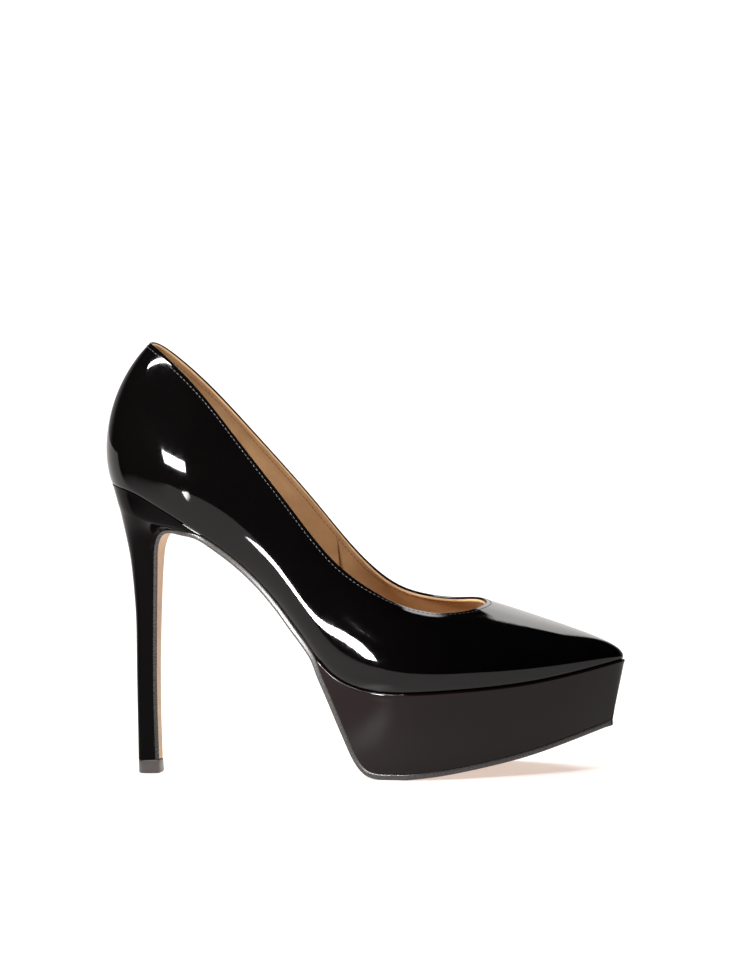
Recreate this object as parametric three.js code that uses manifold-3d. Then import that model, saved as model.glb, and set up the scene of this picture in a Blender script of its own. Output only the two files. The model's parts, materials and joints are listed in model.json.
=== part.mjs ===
// A right-foot platform pump with a stiletto heel: patent upper, leather lining, covered platform,
// covered heel and a leather outsole that runs down the heel breast.
// Millimetres. +X points to the toe, +Y to the medial side, +Z up. The shoe stands on its top piece
// and on the flat of the outsole. Stations are given with x = 0 at the back of the heel seat, and the
// whole shoe is moved at the end so that the origin is under the middle of its bounding box.
import * as THREE from "three";
import { mergeVertices } from "three/addons/utils/BufferGeometryUtils.js";
import Module from "manifold-3d";

const wasm = await Module();
wasm.setup();

// ---------------------------------------------------------------- driving dimensions
const UPPER_THICKNESS = 1.1;
const LINING_THICKNESS = 0.8;
const STIFFENER_THICKNESS = 1.2;
const TAPE_THICKNESS = 0.4;
const LAYER_GAP = 0.25;
const MARGIN_WIDTH = 11; // the strip of upper and lining turned under the insole
const INSOLE_THICKNESS = 2;
const INSOLE_INSET = 5.4; // from the feather line to the insole's edge
const SOCK_FOAM_THICKNESS = 1.4;
const SOCK_THICKNESS = 1;
const SHANK_THICKNESS = 1.6;
const SHANK_WIDTH = 11;
const SHANK_ENDS = [28, 114];
const SHANK_TAPER = { start: 95, share: 0.35 }; // the shank narrows by this share at its front end
const RIVETS = [35, 107];
const RIVET_RADIUS = 1.5;
// Nails and the heel screw: where they stand, how deep they go below the sole line, and their heads.
const NAILS = [[17, -7], [17, 7], [28, -9.5], [28, 9.5]];
const NAIL = { depth: 7, point: 1, radius: 0.9, head: 2, headHeight: 0.9, flare: 0 };
const SCREW_X = 21;
const SCREW = { depth: 13, point: 1, radius: 2, head: 3.4, headHeight: 1.2, flare: 0.2 };
const OUTSOLE_THICKNESS = 2.8;
const BREAST_FLAP_THICKNESS = 1.8;
const PLATFORM_COVER_THICKNESS = 1;
const HEEL_COVER_THICKNESS = 0.8;
const TOP_PIECE_HEIGHT = 6;
const DOWEL_X = 12.4; // axis of the heel's steel tube
const DOWEL_RADIUS = 1.9;
const DOWEL_BORE = 1.25;
const DOWEL_TOP = 100;
const DOWEL_END_WALL = 12; // how much of the tube's upper end is solid
const PIN_RADIUS = 1.0;
const PIN_ENDS = [3, 18];
const TOP_PIECE = { front: 17.5, back: 7.1, half: 4.9, corner: 0.7, roundShare: 0.55 };
const SEAT_GAP = 0.45; // between the heel and the upper's margin
const FILLER_GAP = 0.8; // between the filler and the margins round it
const ROUND_CLEARANCE = 0.25;
const MERGE_DISTANCE = 1e-3;

// Heights above the sole line, measured square to it, of each layer of the bottom.
const UPPER_MARGIN = [0, UPPER_THICKNESS];
const LINING_MARGIN = layerAbove(UPPER_MARGIN, LINING_THICKNESS);
const INSOLE = layerAbove(LINING_MARGIN, INSOLE_THICKNESS);
const SOCK_FOAM = layerAbove(INSOLE, SOCK_FOAM_THICKNESS);
const SOCK = layerAbove(SOCK_FOAM, SOCK_THICKNESS);
const SHANK = [LAYER_GAP, LAYER_GAP + SHANK_THICKNESS];
const FILLER = [LAYER_GAP, LINING_MARGIN[1]];

// The sole line in side view, from the heel seat over the waist to the toe: x, z.
const SOLE_LINE = [
  [0, 131.5], [12, 129], [25, 122.7], [45, 110.4], [65, 94.4], [80, 77.8], [92, 61.6],
  [104, 48.2], [118, 41.6], [136, 39.7], [160, 40.3], [195, 42.6], [230.5, 49.4],
];

// One row per station from the heel's back to the toe's tip.
// feather: x, lateral half-width, medial half-width. topline: x, lateral and medial half-width,
// lateral and medial height. lower: how far the wall's lower handle stands out and up from the feather.
// upper: share of the way to the feather, extra outward reach and drop of the wall's upper handle.
const station = (feather, topline, lower, upper) => ({ feather, topline, lower, upper });
const STATIONS = [
  station([0, 0, 0], [20, 0, 0, 194.8, 194.8], [5.5, 15.5], [0, 21, 19]),
  station([5, 13.5, 13.2], [22.6, 5, 4.6, 193.4, 193.6], [5.6, 15.5], [0, 18, 19]),
  station([18, 21.8, 21.2], [30.5, 9.4, 8.6, 187.2, 187], [6.6, 15.5], [0, 13, 20]),
  station([38, 26.3, 24.5], [45, 13.4, 12.6, 173, 172.2], [8.2, 15.5], [0, 11.4, 20]),
  station([62, 24, 20], [64, 18, 17.8, 149.6, 149.2], [8, 16], [0, 7, 18]),
  station([86, 26, 18.5], [86, 22, 22, 121.8, 122], [7.6, 15.5], [0.1, 5, 16]),
  station([108, 33, 25], [104, 23.3, 23.3, 99.1, 99.2], [6.2, 15], [0.25, 4.4, 13]),
  station([130, 40, 34], [121, 22.8, 22.6, 85, 83.6], [5.4, 15], [0.4, 4, 8]),
  station([152, 41, 38.5], [136, 21.4, 21.4, 76.8, 77.6], [5.2, 14.6], [0.48, 3.6, 5]),
  station([174, 35, 36], [149, 18.8, 19, 73.3, 76], [5.4, 14], [0.52, 3.4, 4.6]),
  station([195, 25, 27.5], [158, 15, 16, 73, 76.3], [4.8, 13], [0.55, 2.6, 6]),
  station([213, 14.5, 17.5], [163.6, 11, 12.5, 73.6, 76.4], [4, 11.4], [0.57, 1.6, 9]),
  station([225, 5.5, 9.5], [166.9, 5, 7, 74.6, 75.9], [3.2, 9.4], [0.585, 0.6, 11]),
  station([230.5, -2, 2], [168, -1.5, 1.5, 75.2, 75.2], [2, 7.8], [0.59, 0, 11.6]),
];
const LAST = STATIONS.length - 1; // the toe's station number
const SOLE_LENGTH = STATIONS[LAST].feather[0];
const SAMPLES_PER_STATION = 3; // places round the shoe between one station and the next

// Outer face of the outsole in side view, from the bottom of the heel breast to the toe: x, z, lateral
// and medial half-width. Where the sole lies on the waist it follows the sole line instead.
const BREAST = [
  [17.4, 6.4, 4.4, 4.4], [17.5, 32, 4.5, 4.5], [18.3, 56, 4.9, 4.9], [19.5, 79, 5.8, 5.8], [20.5, 94, 7, 7],
  [21.5, 102.5, 8.8, 8.8], [24, 107.7, 11.6, 11.4], [28.5, 109.8, 16.2, 15.8], [35, 109.4, 22.4, 20.9],
  [42, 108.1, 25, 22.9],
];
const WAIST = [50, 58, 66, 74, 82, 88];
const TREAD = [
  [93, 55, 27.6, 20], [96.2, 47.2, 28.2, 20.6], [100.2, 37.4, 28.6, 21.4], [104.8, 26, 29.2, 22.4],
  [109.5, 14.8, 30, 23.6], [113.2, 7.4, 31, 25.2], [118.4, 1.8, 32.4, 27], [125, 0, 34, 29.2],
];
const FLAT = [125, 138]; // the stretch of outsole that rests on the floor
// The outsole's outer face from there to the toe: x, z.
const TOE_SPRING = [[138, 0], [150, 1.2], [163, 3.1], [185, 7.3], [204, 12.6], [225.6, 19.8]];
const WALL_LEAN = 0.13; // the platform's wall leans in by this share of its depth
const TOE_LEAN = 0.24;

// Heel sections from the seat to the tip: back x, z; place on the breast flap where the front lies,
// counted in BREAST's rows; greatest half-width; squareness, from 1 round to 0 square.
const HEEL = [
  [0.4, 131, 9.4, 25.5, 1], [1.3, 127, 8.4, 24, 1], [2.7, 121.6, 7.5, 20.6, 1], [4.2, 114.4, 6.6, 15.8, 0.95],
  [5.6, 106.5, 5.6, 11.4, 0.9], [7, 97.5, 4.5, 8.8, 0.85], [7.9, 86, 3.5, 7, 0.8], [8.5, 70, 2.6, 5.8, 0.75],
  [8.1, 50, 1.75, 5.1, 0.7], [7.7, 28, 0.85, 4.85, 0.65], [7.3, 6.3, 0, 4.75, 0.6],
];
const FLAP_PROUD = 0.15; // how far the breast flap stands out past the heel at each side
const BREAST_GAP = 0.35; // between the flap and the heel

// ---------------------------------------------------------------- curves
function layerAbove(layer, thickness) {
  return [layer[1] + LAYER_GAP, layer[1] + LAYER_GAP + thickness];
}

// Cubic B-spline weights at t from 0 to 1.
function basis(t) {
  const s = 1 - t;
  const inner = (k) => (3 * k * k * k - 6 * k * k + 4) / 6;
  return [s * s * s / 6, inner(t), inner(s), t * t * t / 6];
}

// A smooth curve through rows of numbers, closed or open: at(t) gives the row at position t, where
// whole numbers are the given rows.
function smooth(rows, closed = false) {
  const n = rows.length;
  const at = (list, i) => {
    if (closed) return list[((i % n) + n) % n];
    if (i < 0) return list[0].map((x, k) => 2 * x - list[1][k]);
    if (i >= n) return list[n - 1].map((x, k) => 2 * x - list[n - 2][k]);
    return list[i];
  };
  let hold = rows.map((r) => [...r]);
  for (let pass = 0; pass < 40; pass++) {
    hold = hold.map((_, i) => {
      if (!closed && (i === 0 || i === n - 1)) return rows[i];
      return rows[i].map((x, k) => (6 * x - at(hold, i - 1)[k] - at(hold, i + 1)[k]) / 4);
    });
  }
  return (t) => {
    const i = closed ? Math.floor(t) : Math.min(Math.max(Math.floor(t), 0), n - 2);
    const w = basis(t - i);
    return rows[0].map((_, k) => w.reduce((sum, x, j) => sum + x * at(hold, i + j - 1)[k], 0));
  };
}

// A smooth function of x through [x, value, ...] rows whose x rises.
function profile(rows) {
  const curve = smooth(rows);
  return (x) => {
    let low = 0;
    let high = rows.length - 1;
    for (let pass = 0; pass < 40; pass++) {
      const mid = (low + high) / 2;
      if (curve(mid)[0] < x) low = mid;
      else high = mid;
    }
    return curve((low + high) / 2).slice(1);
  };
}

const lerp = THREE.MathUtils.lerp;
const clamp = THREE.MathUtils.clamp;
const smoothstep = THREE.MathUtils.smoothstep;

const soleHeight = profile(SOLE_LINE);

// The point at height d above the sole line, square to it, at x and y.
function overSole(x, y, d) {
  const slope = soleHeight(x + 0.5)[0] - soleHeight(x - 0.5)[0];
  const length = Math.hypot(1, slope);
  return new THREE.Vector3(x - (slope / length) * d, y, soleHeight(x)[0] + d / length);
}

// ---------------------------------------------------------------- the upper's surface
// Stations go round the shoe: heel back, lateral side, toe tip, medial side.
function stationRow(station, side) {
  const [x, lateral, medial] = station.feather;
  const [topX, topLateral, topMedial, highLateral, highMedial] = station.topline;
  const feather = side < 0 ? [x, -lateral] : [x, medial];
  const topline = side < 0 ? [topX, -topLateral, highLateral] : [topX, topMedial, highMedial];
  return [...feather, ...topline, ...station.lower, ...station.upper];
}

const roundLoop = [];
for (let i = 0; i <= LAST; i++) roundLoop.push(stationRow(STATIONS[i], -1));
for (let i = LAST - 1; i > 0; i--) roundLoop.push(stationRow(STATIONS[i], 1));
const LOOP = roundLoop.length;
const rails = smooth(roundLoop, true);

// Outward direction of the feather line in plan.
function outward(t) {
  const step = 0.02;
  const a = rails(t - step);
  const b = rails(t + step);
  return new THREE.Vector3(b[1] - a[1], a[0] - b[0], 0).normalize();
}

function featherPoint(t) {
  const [x, y] = rails(t);
  return new THREE.Vector3(x, y, soleHeight(x)[0]);
}

// The upper's outer face: t goes round the shoe, v from 0 at the feather line to 1 at the topline.
function wall(t, v) {
  const [x, y, topX, topY, topZ, lowOut, lowUp, share, highOut, highDown] = rails(t);
  const out = outward(t);
  const foot = new THREE.Vector3(x, y, soleHeight(x)[0]);
  const top = new THREE.Vector3(topX, topY, topZ);
  const low = foot.clone().addScaledVector(out, lowOut).add(new THREE.Vector3(0, 0, lowUp));
  const high = top.clone().addScaledVector(out, highOut);
  high.x += share * (x - topX);
  high.y += share * (y - topY);
  high.z -= highDown;
  return new THREE.CubicBezierCurve3(foot, low, high, top).getPoint(v);
}

// The wall moved inwards by depth, square to its surface.
function wallInside(t, v, depth) {
  const step = 0.01;
  const along = wall(t + step, v).sub(wall(t - step, v));
  const low = clamp(v - step, 0, 1);
  const up = wall(t, clamp(v + step, 0, 1)).sub(wall(t, low));
  const normal = along.cross(up).normalize();
  return wall(t, v).addScaledVector(normal, -depth);
}

// Station number counted from the heel's back, the same on both sides.
function stationOf(t) {
  const wrapped = ((t % LOOP) + LOOP) % LOOP;
  return Math.min(wrapped, LOOP - wrapped);
}

// The counter fills the heel end of the wall and the puff the toe end, and the lining lies inside both.
// Both thin away up the wall, and the tape's thickness comes in towards the topline.
const COUNTER_END = 4.2; // station
const PUFF_START = 10; // station
const STIFFENER_FADE = [0.66, 0.9];
const TAPE_FADE = [0.62, 0.8];
function stiffening(t, v) {
  const s = stationOf(t);
  const counter = 1 - smoothstep(s, COUNTER_END - 0.2, COUNTER_END + 1);
  const puff = smoothstep(s, PUFF_START - 1, PUFF_START + 0.2);
  return clamp(counter + puff, 0, 1) * (1 - smoothstep(v, ...STIFFENER_FADE));
}
function liningDepth(t, v) {
  const tape = (TAPE_THICKNESS + LAYER_GAP) * smoothstep(v, ...TAPE_FADE);
  return UPPER_THICKNESS + LAYER_GAP + (STIFFENER_THICKNESS + LAYER_GAP) * stiffening(t, v) + tape;
}

// A point on the sole line surface, in from the feather line by a distance towards the shoe's spine.
const SPINE = [15, 208]; // the spine's ends
const SPINE_BEND = { start: 100, slope: 0.02 }; // it leans to the medial side from here forward
const SPINE_REACH = 0.62; // the most of the way to the spine that an inset may take
function spinePoint(x) {
  const spineX = clamp(lerp(...SPINE, x / SOLE_LENGTH), ...SPINE);
  return new THREE.Vector2(spineX, Math.max(spineX - SPINE_BEND.start, 0) * SPINE_BEND.slope);
}
function inFrom(t, inset, d, extra = 0) {
  const [x, y] = rails(t);
  const spine = spinePoint(x);
  const towards = spine.clone().sub(new THREE.Vector2(x, y));
  const reach = Math.min(inset, towards.length() * SPINE_REACH);
  towards.setLength(reach + extra);
  return overSole(x + towards.x, y + towards.y, d);
}

// ---------------------------------------------------------------- meshes
// A geometry from points and triangles, with shared points merged and collapsed triangles dropped.
function geometryFrom(points, triangles) {
  const raw = new THREE.BufferGeometry();
  raw.setAttribute("position", new THREE.Float32BufferAttribute(points.flatMap((p) => [p.x, p.y, p.z]), 3));
  raw.setIndex(triangles.flat());
  const merged = mergeVertices(raw, MERGE_DISTANCE);
  const index = merged.index.array;
  const kept = [];
  for (let i = 0; i < index.length; i += 3) {
    const [a, b, c] = [index[i], index[i + 1], index[i + 2]];
    if (a !== b && b !== c && c !== a) kept.push(a, b, c);
  }
  merged.setIndex(kept);
  return merged;
}

// A solid through closed sections of equal point counts, closed on itself or capped at both ends. A cap
// joins point k of its section to point n - 1 - k, so a section is two sides of equal length.
function loft(sections, closed = false) {
  const n = sections[0].length;
  const points = sections.flat();
  const triangles = [];
  const last = closed ? sections.length : sections.length - 1;
  for (let i = 0; i < last; i++) {
    const a = i * n;
    const b = ((i + 1) % sections.length) * n;
    for (let k = 0; k < n; k++) {
      const m = (k + 1) % n;
      triangles.push([a + k, b + k, b + m], [a + k, b + m, a + m]);
    }
  }
  if (!closed) {
    const end = (sections.length - 1) * n;
    for (let k = 0; k < n / 2 - 1; k++) {
      const [p, q, r, s] = [k, k + 1, n - 2 - k, n - 1 - k];
      triangles.push([p, q, r], [p, r, s], [end + p, end + r, end + q], [end + p, end + s, end + r]);
    }
  }
  return outwardFacing(geometryFrom(points, triangles));
}

// The geometry with its faces pointing out.
function outwardFacing(geometry) {
  const p = geometry.attributes.position;
  const index = geometry.index.array;
  const corner = [new THREE.Vector3(), new THREE.Vector3(), new THREE.Vector3()];
  let volume = 0;
  for (let i = 0; i < index.length; i += 3) {
    corner.forEach((c, k) => c.fromBufferAttribute(p, index[i + k]));
    volume += corner[0].dot(corner[1].clone().cross(corner[2]));
  }
  if (volume < 0) for (let i = 0; i < index.length; i += 3) [index[i], index[i + 1]] = [index[i + 1], index[i]];
  return geometry;
}

function solidOf(geometry) {
  const bare = geometry.index ? geometry.toNonIndexed() : geometry.clone();
  const only = new THREE.BufferGeometry().setAttribute("position", bare.getAttribute("position"));
  const merged = mergeVertices(only, MERGE_DISTANCE);
  return new wasm.Manifold(new wasm.Mesh({
    numProp: 3,
    vertProperties: merged.attributes.position.array,
    triVerts: new Uint32Array(merged.index.array),
  }));
}

function geometryOf(solid) {
  const mesh = solid.getMesh();
  const geometry = new THREE.BufferGeometry();
  geometry.setAttribute("position", new THREE.BufferAttribute(new Float32Array(mesh.vertProperties), 3));
  geometry.setIndex(Array.from(mesh.triVerts));
  return geometry;
}

function cut(geometry, ...tools) {
  return geometryOf(tools.reduce((body, tool) => body.subtract(solidOf(tool)), solidOf(geometry)));
}

// An upright turned piece from [radius, z] rows, bottom to top, starting and ending on the axis.
function turned(rows, x, y, sides = 12) {
  const outline = rows.map(([r, z]) => new THREE.Vector2(r, z));
  return new THREE.LatheGeometry(outline, sides).rotateX(Math.PI / 2).translate(x, y, 0);
}
function cylinder(radius, bottom, top, x, y, sides = 12) {
  return turned([[0, bottom], [radius, bottom], [radius, top], [0, top]], x, y, sides);
}

// A cylinder or other turned piece square to the sole line at x and y, from [radius, d] rows.
function studded(rows, x, y, sides = 12) {
  const outline = rows.map(([r, d]) => new THREE.Vector2(r, d));
  const up = overSole(x, y, 1).sub(overSole(x, y, 0));
  const foot = overSole(x, y, 0);
  const turn = new THREE.Quaternion().setFromUnitVectors(new THREE.Vector3(0, 1, 0), up);
  return new THREE.LatheGeometry(outline, sides).applyQuaternion(turn).translate(foot.x, foot.y, foot.z);
}

// Evenly spaced numbers from one to another.
function positions(from, to, count) {
  return Array.from({ length: count + 1 }, (_, i) => lerp(from, to, i / count));
}
// The places round the shoe at which every layer of the upper has a section, so that layers nest.
const AROUND = positions(0, LOOP, LOOP * SAMPLES_PER_STATION).slice(0, -1);
function stretch(from, to) {
  const all = positions(-LOOP, LOOP, 2 * LOOP * SAMPLES_PER_STATION);
  return [from, ...all.filter((t) => t > from + 0.1 && t < to - 0.1), to];
}
// The heights up the wall, as v, of every layer's points.
const UP_WALL = [0, 0.07, 0.16, 0.26, 0.37, 0.48, 0.59, 0.7, 0.8, 0.89, 0.95, 1];

// A lasted layer: a wall with its margin turned under the insole.
function lasted(around, closed, outerDepth, innerDepth, layer, rise, marginWidth) {
  const sections = around.map((t) => {
    const outer = rise.map((v) => wallInside(t, v, outerDepth(t, v)));
    const inner = rise.map((v) => wallInside(t, v, innerDepth(t, v)));
    return [inFrom(t, marginWidth, layer[0]), ...outer, ...inner.reverse(), inFrom(t, marginWidth, layer[1])];
  });
  return loft(sections, closed);
}

// A flat layer over the sole line between two stations, its edge in from the feather line.
function bottomPlate(from, to, insetAt, layer, extra = 0) {
  const sections = stretch(from, to).map((s) => {
    const inset = insetAt(s);
    const row = (d) => [inFrom(s, inset, d, extra), inFrom(-s, inset, d, extra)];
    return [...row(layer[0]), ...row(layer[1]).reverse()];
  });
  return loft(sections);
}

// ---------------------------------------------------------------- upper, lining and stiffeners
function upperGeometry() {
  return lasted(AROUND, true, () => 0, () => UPPER_THICKNESS, UPPER_MARGIN, UP_WALL, MARGIN_WIDTH);
}

const LINING_SEAM = 5.6; // station where quarter and vamp linings meet
const LINING_BUTT = 0.04; // of a station, between them
const LINING_TOP = 0.985;
function liningGeometry(from, to) {
  const rise = UP_WALL.map((v) => Math.min(v, LINING_TOP));
  const inner = (t, v) => liningDepth(t, v) + LINING_THICKNESS;
  return lasted(stretch(from, to), false, liningDepth, inner, LINING_MARGIN, rise, MARGIN_WIDTH);
}

// A patch of stiffener between upper and lining, low and high edges given by station.
const STIFFENER_LOW = 0.06;
const STIFFENER_THINNEST = 0.15; // share of the full thickness left at its edges
function stiffener(from, to, high) {
  const near = UPPER_THICKNESS + LAYER_GAP;
  const sections = stretch(from, to).map((t) => {
    const rise = UP_WALL.map((v) => clamp(v, STIFFENER_LOW, high(stationOf(t))));
    const thin = (v) => STIFFENER_THICKNESS * Math.max(STIFFENER_THINNEST, stiffening(t, v));
    const outer = rise.map((v) => wallInside(t, v, near));
    const inner = rise.map((v) => wallInside(t, v, near + thin(v))).reverse();
    return [...outer, ...inner];
  });
  return loft(sections);
}

const TAPE_LEVELS = [0.89, 0.95, 0.98];
function tapeGeometry() {
  const near = UPPER_THICKNESS + LAYER_GAP;
  const sections = AROUND.map((t) => [
    ...TAPE_LEVELS.map((v) => wallInside(t, v, near)),
    ...TAPE_LEVELS.map((v) => wallInside(t, v, near + TAPE_THICKNESS)).reverse(),
  ]);
  return loft(sections, true);
}

// ---------------------------------------------------------------- outsole and platform
const plan = (side) => profile(STATIONS.slice(1).map(({ feather }) => [feather[0], feather[side < 0 ? 1 : 2]]));
const lateralPlan = plan(-1);
const medialPlan = plan(1);

// Height of the outsole's outer face under the forepart.
const toeSpring = profile(TOE_SPRING);
function treadHeight(x) {
  return x <= FLAT[1] ? 0 : Math.max(toeSpring(x)[0], 0);
}
const TOE_TURN = [196, 228]; // where the platform's wall turns round the toe
const leanAt = (x) => lerp(WALL_LEAN, TOE_LEAN, smoothstep(x, ...TOE_TURN));

// Rows of the outsole's outer face: x, z, lateral y, medial y.
const WAIST_INSET = 0.4; // from the feather line to the outsole's edge at the waist
function outsoleRows() {
  const breast = BREAST.map(([x, z, a, b]) => [x, z, -a, b]);
  const waist = WAIST.map((x) => {
    const p = overSole(x, 0, -OUTSOLE_THICKNESS - LAYER_GAP);
    return [p.x, p.z, WAIST_INSET - lateralPlan(x)[0], medialPlan(x)[0] - WAIST_INSET];
  });
  const tread = TREAD.map(([x, z, a, b]) => [x, z, -a, b]);
  return [...breast, ...waist, ...tread];
}

// The platform's foot: the feather line drawn in by the lean of the wall, at station t.
function platformFoot(t) {
  const [x, y] = rails(t);
  const depth = soleHeight(x)[0] - treadHeight(x) - OUTSOLE_THICKNESS;
  const inset = leanAt(x) * depth;
  const foot = featherPoint(t).addScaledVector(outward(t), -inset);
  return new THREE.Vector3(foot.x, foot.y, y);
}

// The outsole's outer line (x, z), a line that lies a further gap inside it, and the edges' y, at place t.
const outsoleCurve = smooth(outsoleRows());
const THICKENING = [7, 11]; // the rows of BREAST and WAIST between which the flap grows into the sole
function outsoleFaces(t, gap = 0) {
  const [at, ahead, behind] = [outsoleCurve(t), outsoleCurve(t + 0.02), outsoleCurve(t - 0.02)];
  const along = new THREE.Vector2(ahead[0] - behind[0], ahead[1] - behind[1]).normalize();
  const thick = lerp(BREAST_FLAP_THICKNESS, OUTSOLE_THICKNESS, smoothstep(t, ...THICKENING)) + gap;
  const inner = [at[0] - along.y * thick, at[1] + along.x * thick];
  return { outer: [at[0], at[1]], inner, lateral: at[2], medial: at[3] };
}

const SOLE_STATION = 7.34; // the station at the front of the flat, where TREAD's rows end
const REAR_ROWS = BREAST.length + WAIST.length;
function outsoleGeometry() {
  const count = REAR_ROWS + TREAD.length - 1;
  const sections = positions(0, count, count * 2).map((t) => {
    const { outer, inner, lateral, medial } = outsoleFaces(t);
    return soleSection(outer, inner, lateral, medial);
  });
  const stations = positions(SOLE_STATION, LAST, 18);
  for (const s of stations) {
    const [a, b] = [platformFoot(s), platformFoot(-s)];
    const [za, zb] = [treadHeight(a.x), treadHeight(b.x)];
    const low = [new THREE.Vector3(a.x, a.y, za), new THREE.Vector3(b.x, b.y, zb)];
    const high = low.map((p) => p.clone().add(new THREE.Vector3(0, 0, OUTSOLE_THICKNESS)));
    const mid = (pair) => pair[0].clone().lerp(pair[1], 0.5);
    sections.push([low[0], mid(low), low[1], high[1], mid(high), high[0]]);
  }
  return loft(sections);
}
function soleSection(outer, inner, lateral, medial) {
  const point = ([x, z], y) => new THREE.Vector3(x, y, z);
  const middle = (lateral + medial) / 2;
  return [
    point(outer, lateral), point(outer, middle), point(outer, medial),
    point(inner, medial), point(inner, middle), point(inner, lateral),
  ];
}

// Height of the outsole's inner face, and the gap over it, under the platform at x.
const rearInner = (() => {
  const along = positions(REAR_ROWS - 1, REAR_ROWS + TREAD.length - 1, 24);
  const rows = along.map((t) => outsoleFaces(t, LAYER_GAP).inner);
  return profile(rows.filter((r, i) => i === 0 || r[0] > rows[i - 1][0] + 0.05));
})();
function innerSoleHeight(x) {
  if (x >= FLAT[0]) return treadHeight(x) + OUTSOLE_THICKNESS + LAYER_GAP;
  return Math.max(rearInner(x)[0], OUTSOLE_THICKNESS + LAYER_GAP);
}

// The platform's wall from under the feather line to the outsole, at a share of its depth, drawn in.
const PLATFORM_PROUD = 0.5;
const PLATFORM_LEAST = { outside: 0.6, inside: 0.4 }; // least depth, where it runs out at the waist
function platformWall(t, share, inset) {
  const foot = featherPoint(t);
  const out = outward(t);
  const top = soleHeight(foot.x)[0] - LAYER_GAP - inset;
  const lean = leanAt(foot.x);
  const atDepth = (z) => foot.clone().addScaledVector(out, PLATFORM_PROUD - inset - lean * (top - z));
  let low = innerSoleHeight(foot.x);
  for (let pass = 0; pass < 4; pass++) {
    low = Math.min(innerSoleHeight(atDepth(low).x), top - PLATFORM_LEAST.outside);
  }
  low = Math.min(low + inset, top - PLATFORM_LEAST.inside);
  const z = lerp(top, low, share);
  const p = atDepth(z);
  p.z = z;
  return p;
}
const PLATFORM_START = 5.55; // station
const PLATFORM_SHARES = [0, 0.12, 0.4, 0.75, 1];
function platformCoverGeometry() {
  const sections = positions(PLATFORM_START, LOOP - PLATFORM_START, 46).map((t) => {
    const outer = PLATFORM_SHARES.map((k) => platformWall(t, k, 0));
    const inner = PLATFORM_SHARES.map((k) => platformWall(t, k, PLATFORM_COVER_THICKNESS)).reverse();
    return [...outer, ...inner];
  });
  return loft(sections);
}
function platformCoreGeometry() {
  const inset = PLATFORM_COVER_THICKNESS + LAYER_GAP;
  const sections = positions(PLATFORM_START + 0.1, LAST, 24).map((s) => [
    ...PLATFORM_SHARES.map((k) => platformWall(s, k, inset)),
    ...PLATFORM_SHARES.map((k) => platformWall(-s, k, inset)).reverse(),
  ]);
  return loft(sections);
}

// ---------------------------------------------------------------- heel
const heelRow = smooth(HEEL);

// A point of the heel's side at level v (0 at the seat, 1 at the tip). s goes from -1 at the lateral
// front corner round the back to 1 at the medial one. Near the seat the heel takes the outline of the
// feather line and the hollow of the sole line; away from it, its own rounded sections.
const SEAT_LEVELS = 2.4; // rows of HEEL over which the outline changes
const CUP_LEVELS = 2; // rows over which the hollow runs out
const FRONT_BLEND = 0.3; // share of the section's depth over which the front follows the flap
function heelSide(v, s, inset) {
  const level = v * (HEEL.length - 1);
  const [backX, backZ, place, half, square] = heelRow(level);
  const { inner, lateral, medial } = outsoleFaces(Math.max(place, 0), BREAST_GAP);
  const edge = (s < 0 ? -lateral : medial) - FLAP_PROUD;
  const share = Math.pow(clamp(edge / half, 0.3, 0.999), 1 / square);
  const end = Math.PI - Math.asin(share);
  const angle = Math.abs(s) * end;
  const squared = (x) => Math.sign(x) * Math.pow(Math.abs(x), square);
  const frontCos = squared(Math.cos(end));
  const depth = clamp((squared(Math.cos(angle)) - frontCos) / (1 - frontCos), 0, 1);
  const back = new THREE.Vector2(backX, backZ);
  const front = new THREE.Vector2(...inner);
  const length = back.distanceTo(front);
  const along = front.clone().lerp(back, depth * (1 - inset / length));
  const plain = (s < 0 ? lateralSeat : medialSeat)(along.x);
  const seat = lerp(Math.min(edge, plain), plain, smoothstep(depth, 0, FRONT_BLEND));
  const round = half * Math.pow(Math.sin(Math.min(angle, Math.PI)), square);
  const width = lerp(seat, round, smoothstep(level, 0, SEAT_LEVELS));
  const cupped = lerp(soleHeight(along.x)[0] - SEAT_GAP, along.y, smoothstep(level, 0, CUP_LEVELS));
  const z = lerp(along.y, cupped, smoothstep(depth, 0, FRONT_BLEND));
  const narrow = inset * Math.min(1, width / 4);
  return new THREE.Vector3(along.x, Math.sign(s) * Math.max(width - narrow, 0), z);
}

// Half-width of the heel seat's outline at x, on one side.
const seatHalf = (side) => {
  const rows = [];
  for (let t = 0; t <= 4; t += 0.2) {
    const [x, y] = rails(side < 0 ? t : -t);
    rows.push([x, Math.abs(y)]);
  }
  return (x) => {
    const i = rows.findIndex((r) => r[0] > x);
    if (i <= 0) return i === 0 ? 0 : rows[rows.length - 1][1];
    const [a, b] = [rows[i - 1], rows[i]];
    return lerp(a[1], b[1], (x - a[0]) / (b[0] - a[0]));
  };
};
const lateralSeat = seatHalf(-1);
const medialSeat = seatHalf(1);

const HEEL_LEVELS = [0, 0.05, 0.1, 0.15, 0.2, 0.25, 0.3, 0.35, 0.4, 0.45, 0.5, 0.58, 0.66, 0.76, 0.88, 1];
const HEEL_ROUND = [-1, -0.86, -0.7, -0.52, -0.34, -0.17, 0, 0.17, 0.34, 0.52, 0.7, 0.86, 1];
function heelCoverGeometry() {
  const sections = HEEL_LEVELS.map((v) => [
    ...HEEL_ROUND.map((s) => heelSide(v, s, 0)),
    ...HEEL_ROUND.map((s) => heelSide(v, s, HEEL_COVER_THICKNESS)).reverse(),
  ]);
  return loft(sections);
}
function heelBlockGeometry() {
  const inset = HEEL_COVER_THICKNESS + LAYER_GAP;
  const half = HEEL_ROUND.filter((s) => s >= 0);
  const sections = HEEL_LEVELS.map((v) => [
    ...half.map((s) => heelSide(v, -s, inset)),
    ...half.map((s) => heelSide(v, s, inset)).reverse(),
  ]);
  return loft(sections);
}

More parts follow.
